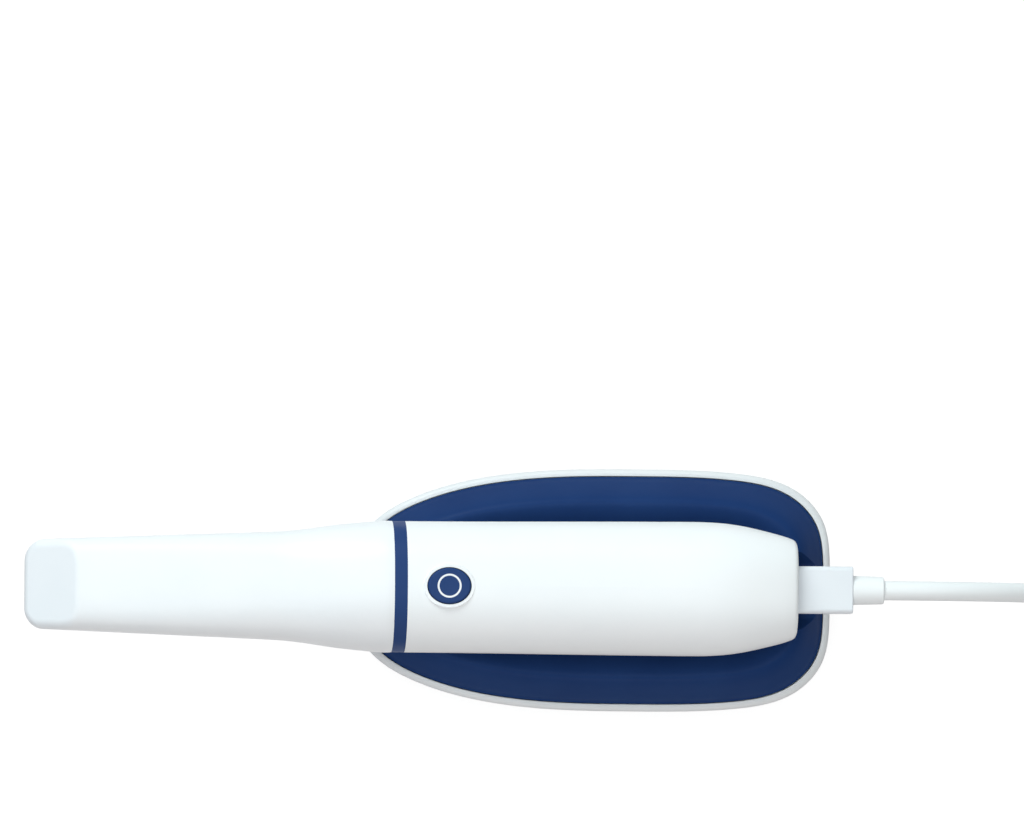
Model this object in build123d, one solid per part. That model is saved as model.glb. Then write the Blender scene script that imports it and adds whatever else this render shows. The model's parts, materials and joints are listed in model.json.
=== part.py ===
"""Intraoral scanner lying in its desk cradle, with its cable.

Millimetres. X runs from the scanning head (-X) to the cable (+X), Y is across, Z is up.
The origin is on the table, under the middle of the cradle.
"""
from build123d import *
import os
from math import cos, hypot, sin, tan, pi, radians

# Wand, outside
WAND_TAIL = 53.2
TIP_LENGTH = 96.0
HEAD_WIDTH = 23.2
HEAD_HEIGHT = 17.6
NECK_WIDTH = 30.8
NECK_HEIGHT = 25.0
COLLAR_WIDTH = 34.4
COLLAR_HEIGHT = 30.8
FLARE_LENGTH = 26.0
FLARE_SETBACK = 5.5
RING_LENGTH = 3.4
BODY_LENGTH = 103.0
GRIP_WIDTH = 35.2
GRIP_HEIGHT = 31.6
TAIL_WIDTH = 25.4
TAIL_HEIGHT = 22.4
TAIL_LENGTH = 26.0
TAIL_EDGE = 1.6
HEAD_SQUARENESS = 4.2
GRIP_SQUARENESS = 2.3
TAIL_SQUARENESS = 2.7
SHELL_WALL = 2.0
SEAM_GAP = 0.1
FIT = 0.1

# Scanning tip
TIP_WALL = 1.8
FACET_LENGTH = 13.0
FACET_ANGLE = 42.0
FACET_WALL = 2.2
HEAD_EDGE = 2.5
HEAD_CORNER = 5.8
HEAD_SLACK = 0.03
MIRROR_WIDTH = 13.6
MIRROR_LENGTH = 13.0
MIRROR_THICKNESS = 1.2
WINDOW_START = 3.6
WINDOW_LENGTH = 13.4
WINDOW_WIDTH = 15.4
WINDOW_CORNER = 3.0

# Nose that the tip slides onto
NOSE_LENGTH = 55.0
NOSE_ROOT = 2.6
NOSE_WALL = 1.6
NOSE_FRONT_WALL = 3.0
TIP_CLEARANCE = 0.35
SEAL_SETBACK = 34.0
SEAL_WIDTH = 1.6
SEAL_DEPTH = 0.8
SEAL_CLEARANCE = 0.15
GLASS_WIDTH = 18.0
GLASS_HEIGHT = 9.0
GLASS_THICKNESS = 1.5
GLASS_CORNER = 2.0
GLASS_LEDGE = 1.0

# Capture button and its switch
BUTTON_SETBACK = 10.9
BUTTON_LENGTH = 11.3
BUTTON_WIDTH = 9.4
BUTTON_RISE = 0.4
BUTTON_EDGE = 0.5
BUTTON_GAP = 0.2
BUTTON_TRAVEL = 0.4
BUTTON_FLANGE = 1.0
BUTTON_FLANGE_THICKNESS = 0.9
BUTTON_STEM = 3.6
BUTTON_STEM_LENGTH = 1.4
BOSS_MARGIN = 1.25
BOSS_RISE = 0.2
BOSS_EDGE = 0.4
BUTTON_SEAT = 1.2
RING_MARK_DIAMETER = 5.8
RING_MARK_LINE = 0.5
RING_MARK_DEPTH = 0.3
PLUNGER_DIAMETER = 2.8
PLUNGER_LENGTH = 2.4
SWITCH_SIZE = 6.0
SWITCH_HEIGHT = 4.2
SWITCH_LIFT = 0.8
SWITCH_BORE_GAP = 0.2
BUTTON_BOARD_LEAD = 7.0
BUTTON_BOARD_LENGTH = 22.0
BUTTON_BOARD_WIDTH = 20.0
BOARD_THICKNESS = 1.2

# Screws and posts in the wand
POST_DIAMETER = 5.2
SHELL_SCREW_DIAMETER = 2.0
SHELL_SCREW_LENGTH = 12.0
SHELL_SCREW_HEAD = 3.8
SHELL_SCREW_HEAD_HEIGHT = 1.6
SHELL_SCREW_SEAT = 8.0
SHELL_SCREW_FRONT = 24.0
SHELL_SCREW_REAR = 70.0
SMALL_POST = 4.2
SMALL_SCREW_DIAMETER = 1.6
SMALL_SCREW_LENGTH = 4.0
SMALL_SCREW_HEAD = 3.0
SMALL_SCREW_HEAD_HEIGHT = 1.1
SMALL_SCREW_INSET = 2.4
SCREW_CLEARANCE = 0.05

# Main board and cable socket
MAIN_BOARD_START = 30.0
MAIN_BOARD_WIDTH = 18.6
PROCESSOR_SIZE = 13.0
PROCESSOR_HEIGHT = 1.6
SOCKET_WIDTH = 9.2
SOCKET_HEIGHT = 3.3
SOCKET_LENGTH = 8.4
SOCKET_CORNER = 1.4
TONGUE_WIDTH = 6.6
TONGUE_THICKNESS = 0.7
TONGUE_LENGTH = 4.6

# Optics in the nose
CHASSIS_START = 12.0
CHASSIS_LENGTH = 18.0
SHELF_WIDTH = 9.0
SHELF_THICKNESS = 2.0
SHELF_LIFT = 0.8
SHELF_REACH = 16.0
CHASSIS_SCREW_SPACING = 6.0
PROJECTOR_DIAMETER = 5.8
PROJECTOR_LENGTH = 24.0
PROJECTOR_LENS = 4.6
CAMERA_SPACING = 12.4
CAMERA_DIAMETER = 4.4
CAMERA_LENGTH = 23.0
CAMERA_LENS = 3.4
LENS_THICKNESS = 1.4
LENS_SETBACK = 0.6
BARREL_BORE = 0.6
LED_BOARD_WIDTH = 6.4
SENSOR_BOARD_WIDTH = 5.2
SENSOR_BOARD_HEIGHT = 8.4
SENSOR_BOARD_THICKNESS = 1.0
HEAT_SINK_LENGTH = 8.0
HEAT_SINK_BASE = 2.0
HEAT_SINK_FINS = 4
HEAT_SINK_FIN = 0.9
FLEX_WIDTH = 2.6
FLEX_THICKNESS = 0.3
FLEX_HEIGHT = 1.8
FLEX_LANDING = 5.0

# Cradle outline at the rim
CRADLE_WIDEST = 8.3
CRADLE_FRONT = 72.0
CRADLE_REAR = 55.4
CRADLE_WIDTH = 63.7
FRONT_SQUARENESS = 2.48
REAR_SQUARENESS = 3.85

# Cradle heights and walls
FOOT_HEIGHT = 1.5
FOOT_INSET = 14.0
PLATE_THICKNESS = 2.6
PLATE_INSET = 11.0
BASE_TUCK = 9.0
BASE_FLOOR = 2.0
BASE_FLOOR_WIDTH = 4.5
RIM_HEIGHT = 15.4
RIM_WIDTH = 1.8
RIM_EDGE = 1.5
RIM_GAP = 0.25
LEDGE_WIDTH = 2.6
LEDGE_THICKNESS = 1.6
TRAY_SKIRT = 3.0
TRAY_WALL = 2.2
POCKET_LEAN = 2.2
CREST_RISE = 9.4
CREST_INSET = 8.5
CREST_ROUND = 1.6
SCOOP_WIDTH = 8.6
SCOOP_DEPTH = 5.2
WAND_LIFT = 1.8
NEST_CLEARANCE = 0.3
NEST_FRONT_CLEARANCE = 0.7
SLOT_WIDTH = 24.0
SLOT_FLOOR_WIDTH = 13.5
SLOT_STEP = 2.6
SLOT_CORNER = 3.0
BALLAST_THICKNESS = 5.0
BALLAST_INSET = 24.0
BASE_SCREW_DIAMETER = 3.0
BASE_SCREW_LENGTH = 10.0
BASE_SCREW_HEAD = 5.6
BASE_SCREW_HEAD_HEIGHT = 1.6
BASE_SCREW_FRONT = -24.0
BASE_SCREW_REAR = 38.0
BASE_SCREW_SPREAD = 24.0
BASE_BOSS_DIAMETER = 6.6

# Cable and plugs
CABLE_DIAMETER = 5.1
BEND_SHARE = 0.45
PLUG_WIDTH = 12.35
PLUG_HEIGHT = 8.0
PLUG_LENGTH = 14.9
PLUG_CORNER = 1.2
PLUG_EDGE = 0.4
CONTACT_WIDTH = 8.34
CONTACT_HEIGHT = 2.56
CONTACT_LENGTH = 6.65
CONTACT_WALL = 0.3
CONTACT_CORNER = 1.2
CONTACT_CLEARANCE = 0.15
TAIL_OPENING_CLEARANCE = 0.3
RELIEF_LENGTH = 8.3
RELIEF_ROOT = 7.7
RELIEF_END = 7.2
RELIEF_EDGE = 0.5
COIL_INNER_TURN = 20.2
COIL_TURNS_ACROSS = 4
COIL_LAYERS = 3
TIE_WIDTH = 8.0
TIE_THICKNESS = 0.9
TIE_ANGLE = 135.0
HOST_PLUG_OFFSET = 20.0
HOST_PLUG_SETBACK = 8.0
HOST_PLUG_WIDTH = 15.6
HOST_PLUG_HEIGHT = 7.8
HOST_PLUG_LENGTH = 24.0
HOST_PLUG_CORNER = 2.0
HOST_SHELL_WIDTH = 12.0
HOST_SHELL_HEIGHT = 4.5
HOST_SHELL_LENGTH = 18.8
HOST_SHELL_WALL = 0.4
HOST_WINDOW = 2.4
HOST_WINDOW_SPACING = 5.6
HOST_WINDOW_SETBACK = 7.0
HOST_INSERT_HEIGHT = 1.8
HOST_INSERT_SETBACK = 0.6
HOST_TAIL_LENGTH = 16.0

STATION_SPACING = 7.0
QUARTER_SPANS = 6
QUARTERS = [(1, 1), (-1, 1), (-1, -1), (1, -1)]
BASE_STEPS = 5
RIM_STEPS = 3
RIDGE_STEPS = 14
MARGIN = 1.0

# Places worked out from the sizes above
AXIS_HEIGHT = RIM_HEIGHT + WAND_LIFT + GRIP_HEIGHT / 2
BODY_START = TIP_LENGTH + RING_LENGTH
WAND_LENGTH = BODY_START + BODY_LENGTH
HEAD_END = WAND_TAIL - WAND_LENGTH
NOSE_START = TIP_LENGTH - NOSE_LENGTH
NOSE_INSET = TIP_WALL + TIP_CLEARANCE
NOSE_BORE_INSET = NOSE_INSET + NOSE_WALL


def between(low, high, share):
    return low + (high - low) * share


def steps(first, last, count):
    return [between(first, last, i / count) for i in range(count + 1)]


def smooth_step(share):
    share = min(max(share, 0.0), 1.0)
    return share * share * (3 - 2 * share)


def quarter_curve(x_side, y_side, half_width, half_height, squareness):
    """A quarter of a rounded figure: squareness 2 is an ellipse, 4 a soft rectangle."""
    points = []
    for i in range(QUARTER_SPANS + 1):
        turn = pi / 2 * i / QUARTER_SPANS
        reach = (cos(turn) ** squareness + sin(turn) ** squareness) ** (-1 / squareness)
        rise = reach * cos(turn) if i < QUARTER_SPANS else 0.0
        points.append((x_side * half_width * reach * sin(turn), y_side * half_height * rise))
    return Spline(*points, tangents=[(x_side, 0), (0, -y_side)])


# Wand sections, by distance from the far end of the head

def tip_size(along):
    """Half width, half height and squareness of the tip."""
    straight = along / TIP_LENGTH
    flare = smooth_step((along - TIP_LENGTH + FLARE_SETBACK + FLARE_LENGTH) / FLARE_LENGTH)
    width = between(HEAD_WIDTH, NECK_WIDTH, straight) + (COLLAR_WIDTH - NECK_WIDTH) * flare
    height = between(HEAD_HEIGHT, NECK_HEIGHT, straight) + (COLLAR_HEIGHT - NECK_HEIGHT) * flare
    return width / 2, height / 2, between(HEAD_SQUARENESS, GRIP_SQUARENESS, smooth_step(straight))


def body_size(along):
    """Half width, half height and squareness of the body, which swells a little and then tapers."""
    swell = smooth_step((along - BODY_START) / (BODY_LENGTH - TAIL_LENGTH))
    taper = max(0.0, (along - WAND_LENGTH + TAIL_LENGTH) / TAIL_LENGTH) ** 2
    width = between(COLLAR_WIDTH, GRIP_WIDTH, swell) - (GRIP_WIDTH - TAIL_WIDTH) * taper
    height = between(COLLAR_HEIGHT, GRIP_HEIGHT, swell) - (GRIP_HEIGHT - TAIL_HEIGHT) * taper
    return width / 2, height / 2, between(GRIP_SQUARENESS, TAIL_SQUARENESS, taper)


def collar_size(along):
    """The section at the blue ring, the same all along it."""
    return COLLAR_WIDTH / 2, COLLAR_HEIGHT / 2, GRIP_SQUARENESS


def at(along, across=0.0, up=0.0):
    """A place on the wand: along from the head's end, across, and up from the axis."""
    return Pos(HEAD_END + along, across, AXIS_HEIGHT + up)


def across_plane(along):
    return Plane((HEAD_END + along, 0, AXIS_HEIGHT), x_dir=(0, 1, 0), z_dir=(1, 0, 0))


def wand_section(size_at, along, inset):
    half_width, half_height, squareness = size_at(along)
    quarters = [quarter_curve(x_side, y_side, half_width - inset, half_height - inset, squareness)
                for x_side, y_side in QUARTERS]
    return across_plane(along) * make_face(quarters)


def wand_loft(size_at, first, last, inset=0.0):
    """A smooth solid through evenly spaced sections of the wand."""
    count = max(2, round((last - first) / STATION_SPACING))
    return loft([wand_section(size_at, along, inset) for along in steps(first, last, count)])


def collar_run(first, last, inset):
    return extrude(wand_section(collar_size, first, inset), last - first, dir=(1, 0, 0))


def block(along, across, up):
    """A box on the wand, from its lowest and highest values each way."""
    middle = [(low + high) / 2 for low, high in (along, across, up)]
    size = [high - low for low, high in (along, across, up)]
    return at(*middle) * Box(*size)


def post(along, across, bottom, top, diameter):
    return at(along, across, bottom) * extrude(Circle(diameter / 2), top - bottom)


def rod(start, end, across, diameter):
    return at(start, across) * Rot(0, 90, 0) * extrude(Circle(diameter / 2), end - start)


def bar(start, end, width, height, corner):
    """A rounded bar along the wand's axis."""
    return across_plane(start) * extrude(RectangleRounded(width, height, corner), end - start)


def screw(diameter, length, head, head_height):
    """A pan-head screw that points up, with its head's seat at the origin."""
    return extrude(Circle(diameter / 2), length) + extrude(Circle(head / 2), -head_height)


def group(pieces):
    return Compound(children=list(pieces))


# Scanning tip

FACET_TOP = tip_size(FACET_LENGTH)[1]
FACET_PLACE = at(FACET_LENGTH, 0, FACET_TOP) * Rot(0, -FACET_ANGLE, 0)
MIRROR_DEPTH = FACET_WALL + MIRROR_THICKNESS
MIRROR_SLIDE = (FACET_TOP - MIRROR_DEPTH * cos(radians(FACET_ANGLE))) / sin(radians(FACET_ANGLE))


def above_facet(depth):
    """Everything on the outer side of the facet's plane, moved in by a depth."""
    return FACET_PLACE * Pos(0, 0, TIP_LENGTH / 2 - depth) * Box(2 * TIP_LENGTH, TIP_LENGTH, TIP_LENGTH)


def head_plan(inset):
    """An upright prism that rounds the head's corners, seen from above, and clears the rest of the tip."""
    front = HEAD_WIDTH / 2 + HEAD_SLACK - inset
    rear = COLLAR_WIDTH / 2 + MARGIN
    end = TIP_LENGTH + 2 * MARGIN
    plan = make_face(Polyline((inset, -front), (end, -rear), (end, rear), (inset, front), close=True))
    plan = fillet(plan.vertices().sort_by(Axis.X)[:2], HEAD_CORNER - inset)
    return at(0, 0, -GRIP_HEIGHT) * extrude(plan, 2 * GRIP_HEIGHT)


def make_tip_sleeve():
    outer = (wand_loft(tip_size, 0, TIP_LENGTH) & head_plan(0)) - above_facet(0)
    flat_faces = outer.faces().filter_by(GeomType.PLANE).sort_by(Axis.X)
    outer = fillet(flat_faces[0].edges() + flat_faces[1].edges(), HEAD_EDGE)
    cavity = wand_loft(tip_size, TIP_WALL, TIP_LENGTH + MARGIN, TIP_WALL) & head_plan(TIP_WALL)
    cavity -= above_facet(FACET_WALL)
    window_floor = tip_size(WINDOW_START + WINDOW_LENGTH)[1] + MARGIN
    window = at(WINDOW_START + WINDOW_LENGTH / 2, 0, -window_floor) * extrude(
        RectangleRounded(WINDOW_LENGTH, WINDOW_WIDTH, WINDOW_CORNER), 2 * MARGIN + TIP_WALL)
    return outer - cavity - window


def make_tip_mirror():
    plate = Box(MIRROR_LENGTH, MIRROR_WIDTH, MIRROR_THICKNESS)
    return FACET_PLACE * Pos(-MIRROR_SLIDE, 0, -FACET_WALL - MIRROR_THICKNESS / 2) * plate


# Nose, ring and seal

SEAL_START = TIP_LENGTH - SEAL_SETBACK
GROOVE_INSET = NOSE_INSET + SEAL_DEPTH
ROOT_END = BODY_START + NOSE_ROOT
ROOT_INSET = SHELL_WALL + FIT


def seal_loop(outer_inset):
    outside = wand_loft(tip_size, SEAL_START, SEAL_START + SEAL_WIDTH, outer_inset)
    return outside - wand_loft(tip_size, SEAL_START, SEAL_START + SEAL_WIDTH, GROOVE_INSET)


def make_nose_barrel():
    outer = wand_loft(tip_size, NOSE_START, TIP_LENGTH, NOSE_INSET)
    outer += collar_run(TIP_LENGTH, ROOT_END, ROOT_INSET)
    bore = wand_loft(tip_size, NOSE_START + NOSE_FRONT_WALL, TIP_LENGTH, NOSE_BORE_INSET)
    bore += collar_run(TIP_LENGTH, ROOT_END + MARGIN, ROOT_INSET + NOSE_WALL)
    pocket = bar(NOSE_START - MARGIN, NOSE_START + GLASS_THICKNESS,
                 GLASS_WIDTH + 2 * FIT, GLASS_HEIGHT + 2 * FIT, GLASS_CORNER)
    light_path = bar(NOSE_START, NOSE_START + NOSE_FRONT_WALL + MARGIN,
                     GLASS_WIDTH - 2 * GLASS_LEDGE, GLASS_HEIGHT - 2 * GLASS_LEDGE, GLASS_CORNER)
    return outer - bore - pocket - light_path - seal_loop(0)


def make_nose_window():
    return bar(NOSE_START, NOSE_START + GLASS_THICKNESS, GLASS_WIDTH, GLASS_HEIGHT, GLASS_CORNER)


def make_collar_ring():
    return collar_run(TIP_LENGTH, BODY_START, 0) - collar_run(TIP_LENGTH, BODY_START, SHELL_WALL)


# Capture button, with its heights worked down from the boss

BUTTON_AT = BODY_START + BUTTON_SETBACK
BOSS_TOP = body_size(BUTTON_AT)[1] + BOSS_RISE
BUTTON_TOP = BOSS_TOP + BUTTON_RISE
SEAT_HEIGHT = body_size(BUTTON_AT)[1] - SHELL_WALL - BUTTON_SEAT
FLANGE_BOTTOM = SEAT_HEIGHT - BUTTON_FLANGE_THICKNESS
STEM_BOTTOM = FLANGE_BOTTOM - BUTTON_STEM_LENGTH
PLUNGER_BOTTOM = STEM_BOTTOM - PLUNGER_LENGTH
SWITCH_TOP = STEM_BOTTOM - SWITCH_LIFT
BUTTON_BOARD_TOP = SWITCH_TOP - SWITCH_HEIGHT
BUTTON_BOARD_BOTTOM = BUTTON_BOARD_TOP - BOARD_THICKNESS


def button_oval(margin, bottom, top):
    oval = Ellipse(BUTTON_LENGTH / 2 + margin, BUTTON_WIDTH / 2 + margin)
    return at(BUTTON_AT, 0, bottom) * extrude(oval, top - bottom)


def ring_mark(depth):
    radius = RING_MARK_DIAMETER / 2
    mark = Circle(radius + RING_MARK_LINE / 2) - Circle(radius - RING_MARK_LINE / 2)
    return at(BUTTON_AT, 0, BUTTON_TOP) * extrude(mark, -depth)


def make_button_cap():
    column = button_oval(0, SEAT_HEIGHT, BUTTON_TOP)
    column = fillet(column.faces().sort_by(Axis.Z)[-1].edges(), BUTTON_EDGE)
    flange = button_oval(BUTTON_FLANGE, FLANGE_BOTTOM, SEAT_HEIGHT)
    stem = post(BUTTON_AT, 0, STEM_BOTTOM, FLANGE_BOTTOM, BUTTON_STEM)
    return column + flange + stem - ring_mark(RING_MARK_DEPTH)


def make_switch_plunger():
    return post(BUTTON_AT, 0, PLUNGER_BOTTOM, STEM_BOTTOM, PLUNGER_DIAMETER)


def make_switch_case():
    half = SWITCH_SIZE / 2
    case = block((BUTTON_AT - half, BUTTON_AT + half), (-half, half), (BUTTON_BOARD_TOP, SWITCH_TOP))
    bore_floor = PLUNGER_BOTTOM - 2 * BUTTON_TRAVEL
    return case - post(BUTTON_AT, 0, bore_floor, SWITCH_TOP, PLUNGER_DIAMETER + 2 * SWITCH_BORE_GAP)


def board_corners(start, end, width):
    """Screw places near a board's corners, as along and across."""
    return [(along, across * (width / 2 - SMALL_SCREW_INSET))
            for along in (start + SMALL_SCREW_INSET, end - SMALL_SCREW_INSET) for across in (-1, 1)]


BUTTON_BOARD_FRONT = BUTTON_AT - BUTTON_BOARD_LEAD
BUTTON_BOARD_SPAN = (BUTTON_BOARD_FRONT, BUTTON_BOARD_FRONT + BUTTON_BOARD_LENGTH)
BUTTON_BOARD_CORNERS = board_corners(*BUTTON_BOARD_SPAN, BUTTON_BOARD_WIDTH)
SMALL_HOLE = SMALL_SCREW_DIAMETER + 2 * SCREW_CLEARANCE


def make_button_board():
    board = block(BUTTON_BOARD_SPAN, (-BUTTON_BOARD_WIDTH / 2, BUTTON_BOARD_WIDTH / 2),
                  (BUTTON_BOARD_BOTTOM, BUTTON_BOARD_TOP))
    for along, across in BUTTON_BOARD_CORNERS:
        board -= post(along, across, BUTTON_BOARD_BOTTOM, BUTTON_BOARD_TOP, SMALL_HOLE)
    return board


def small_screw():
    return screw(SMALL_SCREW_DIAMETER, SMALL_SCREW_LENGTH, SMALL_SCREW_HEAD, SMALL_SCREW_HEAD_HEIGHT)


def make_button_board_screws():
    return group(at(along, across, BUTTON_BOARD_BOTTOM) * small_screw()
                 for along, across in BUTTON_BOARD_CORNERS)


# Main board, with the cable socket on the wand's axis

BOARD_TOP = -SOCKET_HEIGHT / 2
BOARD_BOTTOM = BOARD_TOP - BOARD_THICKNESS
BOARD_SPAN = (BODY_START + MAIN_BOARD_START, WAND_LENGTH - SHELL_WALL - FIT)
BOARD_CORNERS = board_corners(*BOARD_SPAN, MAIN_BOARD_WIDTH)
SOCKET_MOUTH = WAND_LENGTH - SHELL_WALL - FIT
SOCKET_BACK = SOCKET_MOUTH - SOCKET_LENGTH
SOCKET_CAVITY_END = WAND_LENGTH - CONTACT_LENGTH - MARGIN


def make_main_board():
    board = block(BOARD_SPAN, (-MAIN_BOARD_WIDTH / 2, MAIN_BOARD_WIDTH / 2), (BOARD_BOTTOM, BOARD_TOP))
    for along, across in BOARD_CORNERS:
        board -= post(along, across, BOARD_BOTTOM, BOARD_TOP, SMALL_HOLE)
    return board


def make_board_screws():
    return group(at(along, across, BOARD_TOP) * Rot(180, 0, 0) * small_screw()
                 for along, across in BOARD_CORNERS)


def make_processor():
    middle = (BOARD_SPAN[0] + BOARD_SPAN[1]) / 2
    half = PROCESSOR_SIZE / 2
    return block((middle - half, middle + half), (-half, half), (BOARD_TOP, BOARD_TOP + PROCESSOR_HEIGHT))


def make_usb_socket():
    case = bar(SOCKET_BACK, SOCKET_MOUTH, SOCKET_WIDTH, SOCKET_HEIGHT, SOCKET_CORNER)
    cavity = bar(SOCKET_CAVITY_END, SOCKET_MOUTH, CONTACT_WIDTH + 2 * CONTACT_CLEARANCE,
                 CONTACT_HEIGHT + 2 * CONTACT_CLEARANCE, CONTACT_CORNER)
    tongue = block((SOCKET_CAVITY_END, SOCKET_CAVITY_END + TONGUE_LENGTH),
                   (-TONGUE_WIDTH / 2, TONGUE_WIDTH / 2), (-TONGUE_THICKNESS / 2, TONGUE_THICKNESS / 2))
    return case - cavity + tongue


# Optics

CHASSIS_AT = NOSE_START + CHASSIS_START
CHASSIS_END = CHASSIS_AT + CHASSIS_LENGTH
SHELF_BOTTOM = SHELF_LIFT - (tip_size(CHASSIS_AT)[1] - NOSE_BORE_INSET)
SHELF_TOP = SHELF_BOTTOM + SHELF_THICKNESS
SHELF_END = BODY_START + SHELF_REACH
CHASSIS_SCREW_AT = SHELF_END - SMALL_SCREW_INSET
CHASSIS_SCREWS = [(CHASSIS_SCREW_AT, side * CHASSIS_SCREW_SPACING / 2) for side in (-1, 1)]
CAMERA_SIDE = CAMERA_SPACING / 2


def make_optical_chassis():
    chassis = wand_loft(tip_size, CHASSIS_AT, CHASSIS_END, NOSE_BORE_INSET + FIT)
    chassis += block((CHASSIS_END - MARGIN, SHELF_END), (-SHELF_WIDTH / 2, SHELF_WIDTH / 2),
                     (SHELF_BOTTOM, SHELF_TOP))
    chassis -= rod(CHASSIS_AT, CHASSIS_END, 0, PROJECTOR_DIAMETER + 2 * FIT)
    for across in (-CAMERA_SIDE, CAMERA_SIDE):
        chassis -= rod(CHASSIS_AT, CHASSIS_END, across, CAMERA_DIAMETER + 2 * FIT)
    for along, across in CHASSIS_SCREWS:
        chassis -= post(along, across, SHELF_BOTTOM, SHELF_TOP, SMALL_HOLE)
    return chassis


def make_chassis_screws():
    return group(at(along, across, SHELF_TOP) * Rot(180, 0, 0) * small_screw()
                 for along, across in CHASSIS_SCREWS)


def barrel(across, diameter, length, lens):
    """A lens tube that ends at the back of the chassis, stepped to seat its lens at the front."""
    start = CHASSIS_END - length
    tube = rod(start, CHASSIS_END, across, diameter)
    tube -= rod(start, start + LENS_SETBACK + LENS_THICKNESS, across, lens + 2 * SCREW_CLEARANCE)
    return tube - rod(start, CHASSIS_END, across, lens - 2 * BARREL_BORE)


def barrel_lens(across, length, lens):
    """A lens disc with a domed front."""
    start = CHASSIS_END - length + LENS_SETBACK
    disc = rod(start, start + LENS_THICKNESS, across, lens)
    return fillet(disc.faces().sort_by(Axis.X)[0].edges(), LENS_THICKNESS / 2)


def make_led_board():
    tall = -SHELF_TOP - FIT
    return block((CHASSIS_END, CHASSIS_END + SENSOR_BOARD_THICKNESS),
                 (-LED_BOARD_WIDTH / 2, LED_BOARD_WIDTH / 2), (-tall, tall))


def make_heat_sink():
    start = CHASSIS_END + SENSOR_BOARD_THICKNESS
    tall = -SHELF_TOP - FIT
    half = LED_BOARD_WIDTH / 2
    sink = block((start, start + HEAT_SINK_LENGTH), (-half, half), (-tall, tall))
    pitch = (LED_BOARD_WIDTH - HEAT_SINK_FIN) / (HEAT_SINK_FINS - 1)
    for i in range(HEAT_SINK_FINS - 1):
        left = -half + HEAT_SINK_FIN + i * pitch
        sink -= block((start + HEAT_SINK_BASE, start + HEAT_SINK_LENGTH),
                      (left, left + pitch - HEAT_SINK_FIN), (-tall, tall))
    return sink


def make_sensor_board(side):
    middle = side * CAMERA_SIDE
    return block((CHASSIS_END, CHASSIS_END + SENSOR_BOARD_THICKNESS),
                 (middle - SENSOR_BOARD_WIDTH / 2, middle + SENSOR_BOARD_WIDTH / 2),
                 (-SENSOR_BOARD_HEIGHT / 2, SENSOR_BOARD_HEIGHT / 2))


def make_sensor_flex(side):
    """A flat ribbon from the sensor board back to the main board."""
    middle = side * CAMERA_SIDE
    span = (middle - FLEX_WIDTH / 2, middle + FLEX_WIDTH / 2)
    end = BOARD_SPAN[0] + FLEX_LANDING
    top = FLEX_HEIGHT + FLEX_THICKNESS
    level = block((CHASSIS_END + SENSOR_BOARD_THICKNESS, end), span, (FLEX_HEIGHT, top))
    drop = block((end - FLEX_THICKNESS, end), span, (BOARD_TOP, top))
    return level + drop


# Casing halves

SHELL_POST_SIDE = GRIP_WIDTH / 2 - SHELL_WALL - POST_DIAMETER / 2 - FIT
SHELL_SCREWS = [(BODY_START + along, side * SHELL_POST_SIDE)
                for along in (SHELL_SCREW_FRONT, SHELL_SCREW_REAR) for side in (-1, 1)]
SHELL_HOLE = SHELL_SCREW_DIAMETER + 2 * SCREW_CLEARANCE


def make_casing():
    """The whole casing, the space inside it, and the form that its posts are trimmed to."""
    outer = wand_loft(body_size, BODY_START, WAND_LENGTH)
    outer = fillet(outer.faces().sort_by(Axis.X)[-1].edges(), TAIL_EDGE)
    inner = wand_loft(body_size, BODY_START, WAND_LENGTH - SHELL_WALL, SHELL_WALL)
    trim = wand_loft(body_size, BODY_START, WAND_LENGTH - SHELL_WALL / 2, SHELL_WALL / 2)
    opening = bar(WAND_LENGTH - SHELL_WALL - MARGIN, WAND_LENGTH + MARGIN,
                  CONTACT_WIDTH + 2 * TAIL_OPENING_CLEARANCE, CONTACT_HEIGHT + 2 * TAIL_OPENING_CLEARANCE,
                  CONTACT_CORNER)
    return outer - inner - opening, trim


def half_space(upper):
    side = 1 if upper else -1
    return block((0, WAND_LENGTH + MARGIN), (-GRIP_WIDTH, GRIP_WIDTH),
                 sorted((side * SEAM_GAP / 2, side * GRIP_HEIGHT)))


def make_upper_shell(casing, trim):
    shell = casing & half_space(True)
    boss = button_oval(BOSS_MARGIN, SEAT_HEIGHT, BOSS_TOP)
    shell += fillet(boss.faces().sort_by(Axis.Z)[-1].edges(), BOSS_EDGE)
    for along, across in SHELL_SCREWS:
        shell += post(along, across, SEAM_GAP / 2, GRIP_HEIGHT / 2, POST_DIAMETER) & trim
    for along, across in BUTTON_BOARD_CORNERS:
        shell += post(along, across, BUTTON_BOARD_TOP, GRIP_HEIGHT / 2, SMALL_POST) & trim
    shell -= button_oval(BUTTON_GAP, SEAT_HEIGHT, BOSS_TOP)
    for along, across in SHELL_SCREWS:
        depth = SHELL_SCREW_LENGTH - SHELL_SCREW_SEAT + MARGIN
        shell -= post(along, across, 0, depth, SHELL_HOLE)
    for along, across in BUTTON_BOARD_CORNERS:
        depth = SMALL_SCREW_LENGTH - BOARD_THICKNESS + MARGIN
        shell -= post(along, across, BUTTON_BOARD_TOP, BUTTON_BOARD_TOP + depth, SMALL_HOLE)
    return shell


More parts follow.
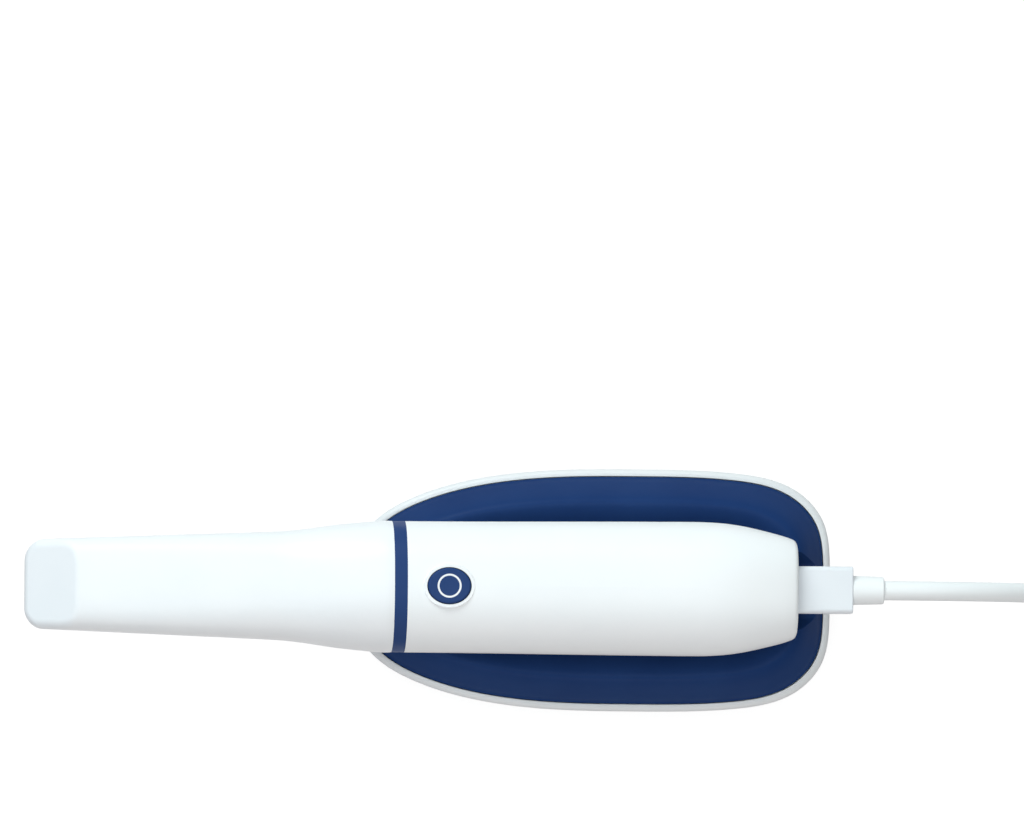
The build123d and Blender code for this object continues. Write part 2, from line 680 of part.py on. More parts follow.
def make_lower_shell(casing, trim):
    shell = casing & half_space(False)
    for along, across in SHELL_SCREWS:
        shell += post(along, across, -GRIP_HEIGHT / 2, -SEAM_GAP / 2, POST_DIAMETER) & trim
    for along, across in BOARD_CORNERS:
        shell += post(along, across, -GRIP_HEIGHT / 2, BOARD_BOTTOM, SMALL_POST) & trim
    for along, across in CHASSIS_SCREWS:
        shell += post(along, across, -GRIP_HEIGHT / 2, SHELF_BOTTOM, SMALL_POST) & trim
    for along, across in SHELL_SCREWS:
        shell -= post(along, across, -GRIP_HEIGHT, 0, SHELL_HOLE)
        shell -= post(along, across, -GRIP_HEIGHT, -SHELL_SCREW_SEAT,
                      SHELL_SCREW_HEAD + 2 * TAIL_OPENING_CLEARANCE)
    depth = SMALL_SCREW_LENGTH
    for along, across in BOARD_CORNERS:
        shell -= post(along, across, BOARD_TOP - depth - MARGIN, BOARD_BOTTOM, SMALL_HOLE)
    for along, across in CHASSIS_SCREWS:
        shell -= post(along, across, SHELF_TOP - depth - MARGIN, SHELF_BOTTOM, SMALL_HOLE)
    return shell


def make_shell_screws():
    one = screw(SHELL_SCREW_DIAMETER, SHELL_SCREW_LENGTH, SHELL_SCREW_HEAD, SHELL_SCREW_HEAD_HEIGHT)
    return group(at(along, across, -SHELL_SCREW_SEAT) * one for along, across in SHELL_SCREWS)


# Cradle: outlines at a height, drawn in from the rim by an inset

LEDGE_TOP = RIM_HEIGHT - TRAY_SKIRT
CREST_HEIGHT = RIM_HEIGHT + CREST_RISE
PLATE_TOP = FOOT_HEIGHT + PLATE_THICKNESS
TRAY_INSET = RIM_WIDTH + RIM_GAP
BASE_SCREWS = [(along, side * BASE_SCREW_SPREAD / 2)
               for along in (BASE_SCREW_FRONT, BASE_SCREW_REAR) for side in (-1, 1)]
BASE_HOLE = BASE_SCREW_DIAMETER + 2 * SCREW_CLEARANCE


def cradle_outline(inset, height):
    quarters = []
    for x_side, y_side in QUARTERS:
        reach = CRADLE_REAR if x_side > 0 else CRADLE_FRONT
        squareness = REAR_SQUARENESS if x_side > 0 else FRONT_SQUARENESS
        quarters.append(quarter_curve(x_side, y_side, reach - inset, CRADLE_WIDTH / 2 - inset, squareness))
    return Pos(CRADLE_WIDEST, 0, height) * make_face(quarters)


def cradle_slab(inset, bottom, top):
    return extrude(cradle_outline(inset, bottom), top - bottom)


def base_form(inset, bottom):
    """The rounded lower body, upright below the rim's edge and tucked in further down."""
    sections = []
    for share in steps(0, 1, BASE_STEPS):
        tuck = BASE_TUCK * (1 - sin(pi / 2 * share))
        height = between(RIM_HEIGHT - RIM_EDGE, bottom, cos(pi / 2 * share))
        sections.append(cradle_outline(inset + tuck, height))
    return loft(sections)


def rim_round():
    """The rim's rounded outer edge."""
    sections = []
    for share in steps(0, 1, RIM_STEPS):
        drop = RIM_EDGE * (1 - sin(pi / 2 * share))
        sections.append(cradle_outline(RIM_EDGE * (1 - cos(pi / 2 * share)), RIM_HEIGHT - drop))
    return loft(sections)


def make_base_shell():
    shell = base_form(0, PLATE_TOP) + rim_round()
    ledge_bottom = LEDGE_TOP - LEDGE_THICKNESS
    lower_room = base_form(RIM_WIDTH, PLATE_TOP + BASE_FLOOR) - cradle_slab(0, ledge_bottom, RIM_HEIGHT)
    ledge_opening = cradle_slab(RIM_WIDTH + LEDGE_WIDTH, ledge_bottom, LEDGE_TOP)
    tray_room = cradle_slab(RIM_WIDTH, LEDGE_TOP, RIM_HEIGHT)
    floor_opening = cradle_slab(BASE_TUCK + BASE_FLOOR_WIDTH, PLATE_TOP, PLATE_TOP + BASE_FLOOR)
    return shell - lower_room - ledge_opening - tray_room - floor_opening


def ridge_height(past):
    """Two straight slopes with a rounded crest between them, at a distance past the crest."""
    outside = CREST_RISE / (CREST_INSET - TRAY_INSET)
    inside = SCOOP_DEPTH / SCOOP_WIDTH
    return (outside - inside) / 2 * past - (outside + inside) / 2 * hypot(past, CREST_ROUND)


def tray_ridge():
    """The ridge: a slope up from the rim, its crest, and a slope down on the inside to the wand."""
    sections = []
    for inset in steps(TRAY_INSET, CREST_INSET + SCOOP_WIDTH, RIDGE_STEPS):
        rise = ridge_height(inset - CREST_INSET) - ridge_height(TRAY_INSET - CREST_INSET)
        sections.append(cradle_outline(inset, RIM_HEIGHT + rise))
    return cradle_slab(TRAY_INSET, LEDGE_TOP, RIM_HEIGHT) + loft(sections)


def wand_nest():
    """The room that the wand takes up in the cradle, open at the front for the tip to slide out."""
    cradle_nose = CRADLE_WIDEST - CRADLE_FRONT - HEAD_END
    return [wand_loft(body_size, BODY_START, WAND_LENGTH, -NEST_CLEARANCE),
            extrude(wand_section(body_size, WAND_LENGTH, -NEST_CLEARANCE), NEST_CLEARANCE, dir=(1, 0, 0)),
            collar_run(cradle_nose, BODY_START + MARGIN, -NEST_FRONT_CLEARANCE)]


def plug_slot():
    """The channel behind the tail, where the plug and the cable pass over the rim."""
    floor = RIM_HEIGHT + SLOT_STEP
    top = CREST_HEIGHT + MARGIN
    start = WAND_TAIL - TAIL_EDGE
    section = make_face(Polyline((-SLOT_WIDTH / 2, top), (-SLOT_FLOOR_WIDTH / 2, floor),
                                 (SLOT_FLOOR_WIDTH / 2, floor), (SLOT_WIDTH / 2, top), close=True))
    section = fillet(section.vertices().sort_by(Axis.Y)[:2], SLOT_CORNER)
    place = Plane((start, 0, 0), x_dir=(0, 1, 0), z_dir=(1, 0, 0))
    return extrude(place * section, CRADLE_WIDEST + CRADLE_REAR - start, dir=(1, 0, 0))


def tray_hollow():
    """The room under the tray: shallow below the wand, deeper inside the ridge at each side."""
    nest_bottom = RIM_HEIGHT + WAND_LIFT - NEST_CLEARANCE - TRAY_WALL
    pocket_top = CREST_HEIGHT - 3 * TRAY_WALL
    keel = GRIP_WIDTH / 2 + NEST_CLEARANCE + TRAY_WALL
    pockets = cradle_slab(TRAY_INSET + TRAY_WALL + POCKET_LEAN, LEDGE_TOP, pocket_top)
    pockets -= Pos(0, 0, pocket_top) * Box(4 * CRADLE_FRONT, 2 * keel, 2 * pocket_top)
    return pockets + cradle_slab(TRAY_INSET + TRAY_WALL, LEDGE_TOP, nest_bottom)


def make_tray():
    bosses = [Pos(x, y, PLATE_TOP) * extrude(Circle(BASE_BOSS_DIAMETER / 2), CREST_HEIGHT - PLATE_TOP)
              for x, y in BASE_SCREWS]
    tray = tray_ridge()
    for room in wand_nest() + [plug_slot()]:
        tray -= room
    hollow = tray_hollow()
    for boss in bosses:
        hollow -= boss
    tray -= hollow
    for boss in bosses:
        tray += boss & cradle_slab(TRAY_INSET, PLATE_TOP, LEDGE_TOP)
    hole_top = FOOT_HEIGHT + BASE_SCREW_HEAD_HEIGHT + BASE_SCREW_LENGTH + MARGIN
    for x, y in BASE_SCREWS:
        tray -= Pos(x, y, PLATE_TOP) * extrude(Circle(BASE_HOLE / 2), hole_top - PLATE_TOP)
    return tray


def make_base_plate():
    plate = cradle_slab(PLATE_INSET, FOOT_HEIGHT, PLATE_TOP)
    for x, y in BASE_SCREWS:
        plate -= Pos(x, y, FOOT_HEIGHT) * extrude(Circle(BASE_HOLE / 2), PLATE_THICKNESS)
        plate -= Pos(x, y, FOOT_HEIGHT) * extrude(
            Circle(BASE_SCREW_HEAD / 2 + SCREW_CLEARANCE), BASE_SCREW_HEAD_HEIGHT)
    return plate


def make_base_screws():
    one = screw(BASE_SCREW_DIAMETER, BASE_SCREW_LENGTH, BASE_SCREW_HEAD, BASE_SCREW_HEAD_HEIGHT)
    return group(Pos(x, y, FOOT_HEIGHT + BASE_SCREW_HEAD_HEIGHT) * one for x, y in BASE_SCREWS)


# Cable

PLUG_END = WAND_LENGTH + PLUG_LENGTH
RELIEF_TAIL = PLUG_END + RELIEF_LENGTH
CABLE_RADIUS = CABLE_DIAMETER / 2
CABLE_ROUTE = [
    (HEAD_END + RELIEF_TAIL, 0, AXIS_HEIGHT),
    (100, 0, AXIS_HEIGHT),
    (134, 0, 5),
    (161, -14, CABLE_RADIUS),
    (185, -23.5, CABLE_RADIUS),
]
COIL_OUTER_TURN = COIL_INNER_TURN + (COIL_TURNS_ACROSS - 1) * CABLE_DIAMETER
COIL_HEIGHT = COIL_LAYERS * CABLE_DIAMETER
COIL_ENTRY = (Vector(*CABLE_ROUTE[-1]) - Vector(*CABLE_ROUTE[-2])).normalized()
COIL_CENTRE = Vector(*CABLE_ROUTE[-1]) + Vector(-COIL_ENTRY.Y, COIL_ENTRY.X) * COIL_OUTER_TURN
COIL_PLACE = Pos(COIL_CENTRE.X, COIL_CENTRE.Y, 0)


def make_plug_body():
    plug = bar(WAND_LENGTH, PLUG_END, PLUG_WIDTH, PLUG_HEIGHT, PLUG_CORNER)
    return fillet(plug.faces().sort_by(Axis.X)[-1].edges(), PLUG_EDGE)


def make_plug_contact_shell():
    start = WAND_LENGTH - CONTACT_LENGTH
    shell = bar(start, WAND_LENGTH, CONTACT_WIDTH, CONTACT_HEIGHT, CONTACT_CORNER)
    return shell - bar(start, WAND_LENGTH, CONTACT_WIDTH - 2 * CONTACT_WALL,
                       CONTACT_HEIGHT - 2 * CONTACT_WALL, CONTACT_CORNER - CONTACT_WALL)


def make_strain_relief():
    root = across_plane(PLUG_END) * Circle(RELIEF_ROOT / 2)
    relief = loft([root, across_plane(RELIEF_TAIL) * Circle(RELIEF_END / 2)])
    return fillet(relief.faces().sort_by(Axis.X)[-1].edges(), RELIEF_EDGE)


def route_radii(points):
    """The largest arcs that a route's runs leave room for."""
    radii = []
    for before, here, after in zip(points, points[1:], points[2:]):
        run_in = Vector(*here) - Vector(*before)
        run_out = Vector(*after) - Vector(*here)
        half_turn = radians(run_in.get_angle(run_out)) / 2
        radii.append(BEND_SHARE * min(run_in.length, run_out.length) / tan(half_turn))
    return radii


def make_cable_coil():
    ring = Circle(COIL_OUTER_TURN + CABLE_RADIUS) - Circle(COIL_INNER_TURN - CABLE_RADIUS)
    return COIL_PLACE * extrude(ring, COIL_HEIGHT)


def tie_box(height):
    """A box round the coil's bundle at the tie, from the table up."""
    inside = COIL_INNER_TURN - CABLE_RADIUS - TIE_THICKNESS
    outside = COIL_OUTER_TURN + CABLE_RADIUS + TIE_THICKNESS
    return COIL_PLACE * Rot(0, 0, TIE_ANGLE) * Pos((inside + outside) / 2, 0, height / 2) * Box(
        outside - inside, TIE_WIDTH, height)


def make_cable(coil):
    radii = route_radii(CABLE_ROUTE)
    print("cable radii", [round(radius, 1) for radius in radii])
    path = FilletPolyline(*CABLE_ROUTE, radius=radii)
    tube = sweep(across_plane(RELIEF_TAIL) * Circle(CABLE_RADIUS), path=path)
    print("cable volume over section times length", tube.volume / (pi * CABLE_RADIUS ** 2 * path.length))
    return tube - coil


# Plug at the far end, lying on the coil and pointing to +Y

HOST_PLACE = COIL_PLACE * Pos(HOST_PLUG_OFFSET, -HOST_PLUG_SETBACK, COIL_HEIGHT + HOST_PLUG_HEIGHT / 2)
HOST_FACE = HOST_PLACE * Rot(-90, 0, 0)


def make_host_plug_body():
    section = RectangleRounded(HOST_PLUG_WIDTH, HOST_PLUG_HEIGHT, HOST_PLUG_CORNER)
    body = HOST_FACE * extrude(section, HOST_PLUG_LENGTH)
    return fillet(body.faces().sort_by(Axis.Y)[0].edges(), PLUG_EDGE)


def make_host_plug_shell():
    section = Rectangle(HOST_SHELL_WIDTH, HOST_SHELL_HEIGHT)
    section -= Rectangle(HOST_SHELL_WIDTH - 2 * HOST_SHELL_WALL, HOST_SHELL_HEIGHT - 2 * HOST_SHELL_WALL)
    shell = extrude(section, HOST_SHELL_LENGTH)
    for side in (-1, 1):
        window = Box(HOST_WINDOW, HOST_SHELL_HEIGHT + MARGIN, HOST_WINDOW)
        place = Pos(side * HOST_WINDOW_SPACING / 2, 0, HOST_SHELL_LENGTH - HOST_WINDOW_SETBACK)
        shell -= place * window
    return HOST_FACE * Pos(0, 0, HOST_PLUG_LENGTH) * shell


def make_host_plug_insert():
    """The tongue that carries the contacts, along the lower wall of the shell."""
    width = HOST_SHELL_WIDTH - 2 * HOST_SHELL_WALL - 2 * FIT
    drop = HOST_SHELL_HEIGHT / 2 - HOST_SHELL_WALL - FIT - HOST_INSERT_HEIGHT / 2
    tongue = extrude(Rectangle(width, HOST_INSERT_HEIGHT), HOST_SHELL_LENGTH - HOST_INSERT_SETBACK)
    return HOST_FACE * Pos(0, drop, HOST_PLUG_LENGTH) * tongue


def make_cable_tail(coil):
    """The last of the cable, from the top of the coil up to the plug."""
    rise = HOST_PLUG_HEIGHT / 2 + CABLE_RADIUS
    end = HOST_PLACE.position
    start = end - Vector(0, HOST_TAIL_LENGTH, rise)
    path = Line(start, end)
    tube = sweep(Plane(start, z_dir=end - start) * Circle(CABLE_RADIUS), path=path)
    return tube - coil - make_host_plug_body()


casing, trim = make_casing()
coil = make_cable_coil()
tie_strap = tie_box(TIE_THICKNESS)
notched_coil = coil - tie_strap

parts = {
    "tip_sleeve": make_tip_sleeve(),
    "tip_mirror": make_tip_mirror(),
    "collar_ring": make_collar_ring(),
    "nose_barrel": make_nose_barrel(),
    "nose_window": make_nose_window(),
    "tip_seal": seal_loop(TIP_WALL + SEAL_CLEARANCE),
    "upper_shell": make_upper_shell(casing, trim),
    "lower_shell": make_lower_shell(casing, trim),
    "shell_screws": make_shell_screws(),
    "button_cap": make_button_cap(),
    "button_ring": ring_mark(RING_MARK_DEPTH),
    "switch_plunger": make_switch_plunger(),
    "switch_case": make_switch_case(),
    "button_board": make_button_board(),
    "button_board_screws": make_button_board_screws(),
    "main_board": make_main_board(),
    "board_screws": make_board_screws(),
    "processor": make_processor(),
    "usb_socket": make_usb_socket(),
    "optical_chassis": make_optical_chassis(),
    "chassis_screws": make_chassis_screws(),
    "projector_barrel": barrel(0, PROJECTOR_DIAMETER, PROJECTOR_LENGTH, PROJECTOR_LENS),
    "projector_lens": barrel_lens(0, PROJECTOR_LENGTH, PROJECTOR_LENS),
    "led_board": make_led_board(),
    "heat_sink": make_heat_sink(),
    "base_shell": make_base_shell(),
    "tray": make_tray(),
    "base_plate": make_base_plate(),
    "ballast": cradle_slab(BALLAST_INSET, PLATE_TOP, PLATE_TOP + BALLAST_THICKNESS),
    "foot_pad": cradle_slab(FOOT_INSET, 0, FOOT_HEIGHT),
    "base_screws": make_base_screws(),
    "plug_body": make_plug_body(),
    "plug_contact_shell": make_plug_contact_shell(),
    "strain_relief": make_strain_relief(),
    "cable": make_cable(notched_coil),
    "cable_coil": notched_coil,
    "coil_tie": tie_box(COIL_HEIGHT + TIE_THICKNESS) - notched_coil,
    "cable_tail": make_cable_tail(notched_coil),
    "host_plug_body": make_host_plug_body(),
    "host_plug_shell": make_host_plug_shell(),
    "host_plug_insert": make_host_plug_insert(),
}
for label, side in (("left", 1), ("right", -1)):
    place = side * CAMERA_SIDE
    parts[f"camera_barrel_{label}"] = barrel(place, CAMERA_DIAMETER, CAMERA_LENGTH, CAMERA_LENS)
    parts[f"camera_lens_{label}"] = barrel_lens(place, CAMERA_LENGTH, CAMERA_LENS)
    parts[f"sensor_board_{label}"] = make_sensor_board(side)
    parts[f"sensor_flex_{label}"] = make_sensor_flex(side)

os.makedirs("parts", exist_ok=True)
for name, solid in parts.items():
    export_step(solid, f"parts/{name}.step")
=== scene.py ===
"""Looks of the intraoral scanner in its desk cradle, in the frame's own metres."""
import json
from math import cos, pi, radians, sin, tan

import bpy
from mathutils import Matrix, Vector


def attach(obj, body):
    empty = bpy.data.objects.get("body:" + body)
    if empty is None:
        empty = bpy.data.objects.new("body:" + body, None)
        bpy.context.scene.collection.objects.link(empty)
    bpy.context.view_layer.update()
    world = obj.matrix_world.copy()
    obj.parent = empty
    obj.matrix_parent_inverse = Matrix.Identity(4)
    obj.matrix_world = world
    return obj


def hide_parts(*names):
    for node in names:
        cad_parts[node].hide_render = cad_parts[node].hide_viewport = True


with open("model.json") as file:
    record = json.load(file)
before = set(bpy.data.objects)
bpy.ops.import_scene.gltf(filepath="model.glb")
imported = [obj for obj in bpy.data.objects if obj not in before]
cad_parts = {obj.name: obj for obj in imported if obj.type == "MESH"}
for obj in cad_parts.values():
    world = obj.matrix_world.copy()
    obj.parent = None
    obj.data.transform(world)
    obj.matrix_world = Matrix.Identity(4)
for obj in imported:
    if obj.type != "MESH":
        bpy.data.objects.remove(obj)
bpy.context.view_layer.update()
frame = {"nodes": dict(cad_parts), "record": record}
scene = bpy.context.scene
scene.view_settings.view_transform = "Standard"

# Camera: far above the wand's ring, a little to the head's side and to the front. It aims behind the wand,
# which puts the wand low in the picture. PIXEL is what one pixel covers at the wand's height.
FRAME_WIDTH = 1024
PIXEL = 0.00026236
WAND_HEIGHT = 0.033
VIEW_HEIGHT = 8.0
SENSOR_WIDTH = 36.0
TILT_FROM_HEAD = radians(3.704)
TILT_FROM_FRONT = radians(1.41)
ROLL = radians(0.484)
RING_X = -0.0515
AIM = Vector((-0.02174, 0.04689, WAND_HEIGHT))

# Cable: the route's points from the plug to the coil
CABLE_DIAMETER = 0.0051
CABLE_RADIUS = CABLE_DIAMETER / 2
CABLE_SMOOTHNESS = 6
ROUTE = [
    (0.0764, 0.0, WAND_HEIGHT),
    (0.100, 0.0, WAND_HEIGHT),
    (0.134, 0.0, 0.005),
    (0.161, -0.014, CABLE_RADIUS),
    (0.185, -0.0235, CABLE_RADIUS),
]

# Coil: each turn steps to the next one over its last quarter, and the last turn climbs onto the others
COIL_OUTER_TURN = 0.0355
COIL_TURNS_ACROSS = 4
COIL_TURNS = 11
COIL_POINTS = 20
COIL_STEP_SHARE = 0.75
CLIMB_START = 0.4
CLIMB_END = 0.7
LAST_RADIUS = 0.0279

# The cable's end, from the coil to the far plug, seen from the coil's centre
TAIL = [
    (-0.0035, -0.0281, 0.0178),
    (0.0035, -0.0281, 0.0179),
    (0.0102, -0.0257, 0.0180),
    (0.0157, -0.0211, 0.0183),
    (0.0191, -0.0150, 0.0188),
    (0.0200, -0.0115, 0.0191),
    (0.0200, -0.0080, 0.0192),
]

# Materials: noise in the object's own metres blends two colours and two degrees of roughness
COLOUR_BAND = (0.35, 0.65)
COLOUR_DETAIL = 3.0
ROUGHNESS_BAND = (0.3, 0.7)
ROUGHNESS_DETAIL = 2.0
GRAIN_DETAIL = 4.0
PLASTIC_SPREAD = 0.05
METAL_SPREAD = 0.08
GLASS_IOR = 1.5

# How much the noise is squeezed along each axis: brush marks run along the one that is small
EVEN = (1.0, 1.0, 1.0)
BRUSHED_X = (0.05, 1.0, 1.0)
BRUSHED_Z = (1.0, 1.0, 0.08)

# Two colours, roughness, the grain's scale and height, specular level
PLASTICS = {
    "white_casing": ((0.903, 0.936, 0.952), (0.920, 0.948, 0.962), 0.40, 2600.0, 0.000004, 0.30),
    "tip_white": ((0.885, 0.922, 0.945), (0.905, 0.937, 0.957), 0.36, 2600.0, 0.000003, 0.30),
    "blue_trim": ((0.017, 0.050, 0.168), (0.020, 0.055, 0.178), 0.50, 3200.0, 0.000006, 0.12),
    "blue_tray": ((0.011, 0.037, 0.134), (0.013, 0.042, 0.146), 0.36, 2800.0, 0.000006, 0.04),
    "cradle_white": ((0.770, 0.798, 0.813), (0.795, 0.818, 0.830), 0.40, 2600.0, 0.000004, 0.30),
    "mark_white": ((0.86, 0.89, 0.91), (0.89, 0.91, 0.93), 0.50, 3000.0, 0.000004, 0.30),
    "black_plastic": ((0.018, 0.018, 0.020), (0.026, 0.026, 0.028), 0.50, 2200.0, 0.000012, 0.40),
    "seal_rubber": ((0.016, 0.016, 0.018), (0.024, 0.024, 0.026), 0.70, 2500.0, 0.000010, 0.30),
    "foot_rubber": ((0.035, 0.035, 0.038), (0.050, 0.050, 0.053), 0.80, 1800.0, 0.000030, 0.30),
    "cable_jacket": ((0.905, 0.942, 0.958), (0.918, 0.952, 0.966), 0.50, 2400.0, 0.000006, 0.25),
    "plug_white": ((0.795, 0.843, 0.890), (0.818, 0.862, 0.905), 0.45, 2600.0, 0.000006, 0.30),
    "board_green": ((0.012, 0.115, 0.040), (0.020, 0.150, 0.055), 0.40, 1200.0, 0.000020, 0.50),
    "flex_amber": ((0.42, 0.16, 0.016), (0.50, 0.20, 0.024), 0.40, 1200.0, 0.000008, 0.50),
}

# Two colours, roughness, the brush marks' direction and height
METALS = {
    "screw_steel": ((0.50, 0.50, 0.52), (0.58, 0.58, 0.60), 0.32, BRUSHED_Z, 0.000004),
    "contact_steel": ((0.62, 0.62, 0.64), (0.70, 0.70, 0.72), 0.20, BRUSHED_X, 0.000002),
    "ballast_steel": ((0.36, 0.36, 0.37), (0.44, 0.44, 0.45), 0.50, BRUSHED_X, 0.000010),
    "chassis_metal": ((0.62, 0.63, 0.64), (0.70, 0.71, 0.72), 0.35, BRUSHED_X, 0.000004),
    "barrel_black": ((0.035, 0.035, 0.038), (0.05, 0.05, 0.055), 0.45, BRUSHED_Z, 0.000004),
    "mirror_face": ((0.86, 0.86, 0.88), (0.89, 0.89, 0.91), 0.10, BRUSHED_X, 0.0000002),
}

# Floor: a matte grey for the light that falls on it, and a white glow for what sees it
FLOOR_REACH = 4.0
FLOOR_GREYS = ((0.25, 0.25, 0.25), (0.27, 0.27, 0.27))
FLOOR_ROUGHNESS = 0.9
FLOOR_GLOW = 0.86

# Light: a dim white world and four lamps
WORLD_STRENGTH = 0.32
WHITE = (1.0, 1.0, 1.0, 1.0)
COOL_WHITE = (0.92, 1.0, 1.0)
WARM_WHITE = (1.0, 0.88, 0.85)
SKY_BLUE = (0.20, 0.50, 1.0)
SET_MIDDLE = (0.0, 0.0, 0.03)
HEAD_MIDDLE = (-0.14, 0.0, 0.03)

# Name, place, target, diameter, power, colour
LAMPS = [
    ("key", (-0.75, 1.85, 1.28), SET_MIDDLE, 1.5, 37.5, COOL_WHITE),
    ("top", (-0.12, 0.03, 2.58), SET_MIDDLE, 2.0, 21.0, COOL_WHITE),
    ("fill", (-0.10, -1.90, 1.00), SET_MIDDLE, 1.6, 11.0, WARM_WHITE),
    ("head", (-1.90, 0.10, 0.80), HEAD_MIDDLE, 1.0, 2.0, SKY_BLUE),
]


def add_object(name, data):
    added = bpy.data.objects.new(name, data)
    scene.collection.objects.link(added)
    return added


def add_camera():
    data = bpy.data.cameras.new("camera")
    data.sensor_fit = "HORIZONTAL"
    data.sensor_width = SENSOR_WIDTH
    camera = add_object("camera", data)
    lean = Vector((-tan(TILT_FROM_HEAD), -tan(TILT_FROM_FRONT), 1.0))
    location = Vector((RING_X, 0.0, WAND_HEIGHT)) + lean * VIEW_HEIGHT
    data.lens = SENSOR_WIDTH * (location - AIM).length / (FRAME_WIDTH * PIXEL)
    back = (location - AIM).normalized()
    right = Vector((cos(ROLL), sin(ROLL), 0.0))
    right = (right - back * right.dot(back)).normalized()
    turn = Matrix((right, back.cross(right), back)).transposed().to_4x4()
    camera.matrix_world = Matrix.Translation(location) @ turn
    scene.camera = camera


def coil_turn(turn):
    """Radius and height of one turn: in over the first layer, out over the second, in again."""
    layer, place = divmod(turn, COIL_TURNS_ACROSS)
    steps_in = place if layer % 2 == 0 else COIL_TURNS_ACROSS - 1 - place
    return COIL_OUTER_TURN - steps_in * CABLE_DIAMETER, CABLE_RADIUS + layer * CABLE_DIAMETER


def ramp(share, first, last):
    """0 up to first, 1 from last on, and even between them."""
    return min(max((share - first) / (last - first), 0.0), 1.0)


def coil_points():
    """The coil's control points. They lie outside its turns, because the curve cuts their corners."""
    start = Vector((*ROUTE[-1][:2], 0.0))
    heading = (Vector(ROUTE[-1]) - Vector(ROUTE[-2])).normalized()
    inward = Vector((-heading.y, heading.x, 0.0))
    centre = start + inward * COIL_OUTER_TURN
    outward = -inward
    swell = 1 / cos(pi / COIL_POINTS)

    points = []
    for turn in range(COIL_TURNS):
        radius, height = coil_turn(turn)
        last = turn == COIL_TURNS - 1
        next_radius, next_height = (LAST_RADIUS, height) if last else coil_turn(turn + 1)
        for i in range(COIL_POINTS):
            share = i / COIL_POINTS
            step = ramp(share, COIL_STEP_SHARE, 1.0)
            climb = CABLE_DIAMETER * ramp(share, CLIMB_START, CLIMB_END) if last else 0.0
            spoke = Matrix.Rotation(2 * pi * share, 3, "Z") @ outward
            reach = radius + (next_radius - radius) * step
            level = height + (next_height - height) * step + climb
            points.append(centre + spoke * reach * swell + Vector((0.0, 0.0, level)))
    return points + [centre + Vector(point) for point in TAIL]


def add_cable():
    points = [Vector(point) for point in ROUTE[:-1]] + coil_points()
    data = bpy.data.curves.new("cable_run", "CURVE")
    data.dimensions = "3D"
    data.bevel_depth = 1.0
    data.bevel_resolution = CABLE_SMOOTHNESS
    data.resolution_u = CABLE_SMOOTHNESS
    data.use_fill_caps = True
    spline = data.splines.new("NURBS")
    spline.points.add(len(points) - 1)
    for control, point in zip(spline.points, points):
        control.co = (*point, 1.0)
        control.radius = CABLE_RADIUS
    spline.order_u = 3
    spline.use_endpoint_u = True
    cable = add_object("cable_run", data)
    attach(cable, "cable")
    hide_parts("cable", "cable_coil", "cable_tail")
    return cable


def new_material(name):
    material = bpy.data.materials.new(name)
    material.use_nodes = True
    nodes = material.node_tree.nodes
    nodes.clear()
    output = nodes.new("ShaderNodeOutputMaterial")
    shader = nodes.new("ShaderNodeBsdfPrincipled")
    material.node_tree.links.new(shader.outputs["BSDF"], output.inputs["Surface"])
    return material, shader


def add_noise(tree, scale, detail, stretch):
    place = tree.nodes.new("ShaderNodeTexCoord")
    mapping = tree.nodes.new("ShaderNodeMapping")
    mapping.inputs["Scale"].default_value = stretch
    noise = tree.nodes.new("ShaderNodeTexNoise")
    noise.inputs["Scale"].default_value = scale
    noise.inputs["Detail"].default_value = detail
    tree.links.new(place.outputs["Object"], mapping.inputs["Vector"])
    tree.links.new(mapping.outputs["Vector"], noise.inputs["Vector"])
    return noise.outputs["Fac"]


def vary_colour(tree, shader, colours, scale, stretch=EVEN):
    blend = tree.nodes.new("ShaderNodeValToRGB")
    for stop, position, colour in zip(blend.color_ramp.elements, COLOUR_BAND, colours):
        stop.position = position
        stop.color = (*colour, 1.0)
    tree.links.new(add_noise(tree, scale, COLOUR_DETAIL, stretch), blend.inputs["Fac"])
    tree.links.new(blend.outputs["Color"], shader.inputs["Base Color"])


def vary_roughness(tree, shader, low, high, scale, stretch=EVEN):
    spread = tree.nodes.new("ShaderNodeMapRange")
    ends = ("From Min", "From Max", "To Min", "To Max")
    for end, value in zip(ends, (*ROUGHNESS_BAND, low, high)):
        spread.inputs[end].default_value = value
    tree.links.new(add_noise(tree, scale, ROUGHNESS_DETAIL, stretch), spread.inputs["Value"])
    tree.links.new(spread.outputs["Result"], shader.inputs["Roughness"])


def add_relief(tree, shader, relief, height):
    bump = tree.nodes.new("ShaderNodeBump")
    bump.inputs["Distance"].default_value = height
    tree.links.new(relief, bump.inputs["Height"])
    tree.links.new(bump.outputs["Normal"], shader.inputs["Normal"])


def moulded(name, first, second, roughness, grain_scale, grain_height, specular):
    """A moulded plastic: a faint drift of colour and gloss, and a fine grain."""
    material, shader = new_material(name)
    tree = material.node_tree
    vary_colour(tree, shader, (first, second), scale=55.0)
    vary_roughness(tree, shader, roughness - PLASTIC_SPREAD, roughness + PLASTIC_SPREAD, scale=240.0)
    add_relief(tree, shader, add_noise(tree, grain_scale, GRAIN_DETAIL, EVEN), grain_height)
    shader.inputs["Specular IOR Level"].default_value = specular
    return material


def metal(name, first, second, roughness, brushed, mark_height):
    """A metal with its brush marks drawn out along one axis."""
    material, shader = new_material(name)
    tree = material.node_tree
    vary_colour(tree, shader, (first, second), scale=400.0, stretch=brushed)
    vary_roughness(tree, shader, roughness - METAL_SPREAD, roughness + METAL_SPREAD, scale=1500.0,
                   stretch=brushed)
    marks = add_noise(tree, scale=2500.0, detail=GRAIN_DETAIL, stretch=brushed)
    add_relief(tree, shader, marks, mark_height)
    shader.inputs["Metallic"].default_value = 1.0
    return material


